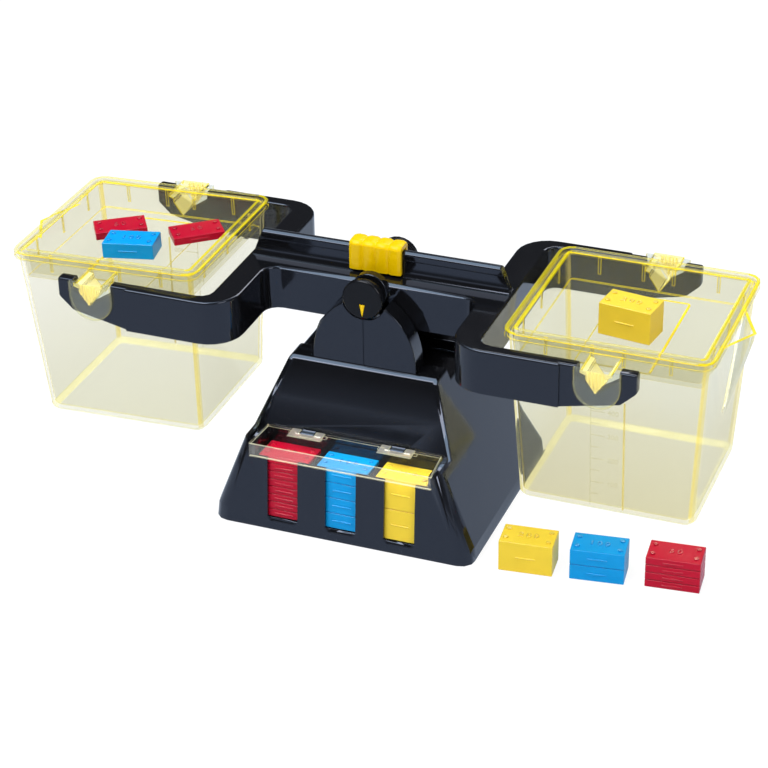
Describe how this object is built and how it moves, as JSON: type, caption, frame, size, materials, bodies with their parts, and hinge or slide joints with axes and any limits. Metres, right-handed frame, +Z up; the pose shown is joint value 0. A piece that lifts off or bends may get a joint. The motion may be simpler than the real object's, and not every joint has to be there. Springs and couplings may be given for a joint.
{
  "type": "bucket balance scale",
  "caption": "Child's balance scale: a tilting beam on a pyramid base carries clear lidded buckets on knife edges, with a zero rider, a mass store and stacking masses",
  "frame": {"origin": "centre of the base's footprint, on the surface it stands on", "axes": "+X along the beam to the right-hand bucket, +Y to the back, +Z up; the mass store and its cover face -Y"},
  "size_m": [0.4448, 0.1498, 0.1647],
  "materials": {
    "black_gloss": "high gloss",
    "bright_steel": "bright",
    "pale_yellow_clear": "clear moulded plastic, pale yellow",
    "store_cover_clear": "clear moulded plastic",
    "yellow": "satin",
    "mass_red": "satin",
    "mass_blue": "satin",
    "mass_yellow": "satin"
  },
  "bodies": {
    "base": {"base_shell": "black_gloss", "base_plate": "black_gloss", "front_upright": "black_gloss", "rear_upright": "black_gloss", "front_bearing": "bright_steel", "rear_bearing": "bright_steel", "left_hinge_pin": "bright_steel", "right_hinge_pin": "bright_steel", "stored_red_mass_1": "mass_red", "stored_red_mass_2": "mass_red", "stored_red_mass_3": "mass_red", "stored_red_mass_4": "mass_red", "stored_red_mass_5": "mass_red", "stored_red_mass_6": "mass_red", "stored_red_mass_7": "mass_red", "stored_red_mass_8": "mass_red", "stored_blue_mass_1": "mass_red", "stored_blue_mass_2": "mass_red", "stored_blue_mass_3": "mass_red", "stored_blue_mass_4": "mass_red", "stored_yellow_mass_1": "mass_red", "stored_yellow_mass_2": "mass_red"},
    "cover": {"storage_cover": "store_cover_clear"},
    "beam_assembly": {"beam": "black_gloss", "pivot_axle": "bright_steel", "front_disc": "black_gloss", "rear_disc": "black_gloss", "front_pointer": "yellow", "rear_pointer": "yellow"},
    "rider": {"zero_rider": "yellow"},
    "left_bucket_body": {"left_bucket": "pale_yellow_clear"},
    "right_bucket_body": {"right_bucket": "pale_yellow_clear"},
    "left_lid_body": {"left_lid": "pale_yellow_clear"},
    "right_lid_body": {"right_lid": "pale_yellow_clear"},
    "left_red_mass_a_body": {"left_red_mass_a": "mass_red"},
    "left_red_mass_b_body": {"left_red_mass_b": "mass_red"},
    "left_blue_mass_body": {"left_blue_mass": "mass_blue"},
    "right_yellow_mass_body": {"right_yellow_mass": "mass_yellow"},
    "loose_yellow_body": {"loose_yellow_mass": "mass_yellow"},
    "loose_blue_body": {"loose_blue_mass_1": "mass_blue", "loose_blue_mass_2": "mass_blue"},
    "loose_red_body": {"loose_red_mass_1": "mass_red", "loose_red_mass_2": "mass_red", "loose_red_mass_3": "mass_red", "loose_red_mass_4": "mass_red"}
  },
  "joints": [
    {"name": "beam_tilt", "type": "hinge", "parent": "base", "child": "beam_assembly", "pos_m": [0, 0, 0.1395], "axis": [0, 1, 0], "range_deg": [-4, 4]},
    {"name": "rider_slide", "type": "slide", "parent": "beam_assembly", "child": "rider", "axis": [1, 0, 0], "range_m": [-0.04, 0.04]},
    {"name": "cover_hinge", "type": "hinge", "parent": "base", "child": "cover", "pos_m": [0, -0.0496, 0.0542], "axis": [-1, 0, 0], "range_deg": [0, 90]},
    {"name": "left_bucket_swing", "type": "hinge", "parent": "beam_assembly", "child": "left_bucket_body", "pos_m": [-0.152, 0, 0.1303], "axis": [0, -1, 0], "range_deg": [-5, 5]},
    {"name": "right_bucket_swing", "type": "hinge", "parent": "beam_assembly", "child": "right_bucket_body", "pos_m": [0.152, 0, 0.1303], "axis": [0, -1, 0], "range_deg": [-5, 5]},
    {"name": "left_lid_lift", "type": "slide", "parent": "left_bucket_body", "child": "left_lid_body", "axis": [-0.0349, 0, 0.9994], "range_m": [0, 0.06]},
    {"name": "right_lid_lift", "type": "slide", "parent": "right_bucket_body", "child": "right_lid_body", "axis": [0, 0, 1], "range_m": [0, 0.06]},
    {"name": "left_red_mass_a_lift", "type": "slide", "parent": "left_lid_body", "child": "left_red_mass_a_body", "axis": [-0.0349, 0, 0.9994], "range_m": [0, 0.04]},
    {"name": "left_red_mass_b_lift", "type": "slide", "parent": "left_lid_body", "child": "left_red_mass_b_body", "axis": [-0.0349, 0, 0.9994], "range_m": [0, 0.04]},
    {"name": "left_blue_mass_lift", "type": "slide", "parent": "left_lid_body", "child": "left_blue_mass_body", "axis": [-0.0349, 0, 0.9994], "range_m": [0, 0.04]},
    {"name": "right_yellow_mass_lift", "type": "slide", "parent": "right_lid_body", "child": "right_yellow_mass_body", "axis": [0, 0, 1], "range_m": [0, 0.04]},
    {"name": "loose_yellow_lift", "type": "slide", "parent": "base", "child": "loose_yellow_body", "axis": [0, -0.8, 0.6], "range_m": [0, 0.04]},
    {"name": "loose_blue_lift", "type": "slide", "parent": "base", "child": "loose_blue_body", "axis": [0, -0.8, 0.6], "range_m": [0, 0.04]},
    {"name": "loose_red_lift", "type": "slide", "parent": "base", "child": "loose_red_body", "axis": [0, -0.8, 0.6], "range_m": [0, 0.04]}
  ]
}
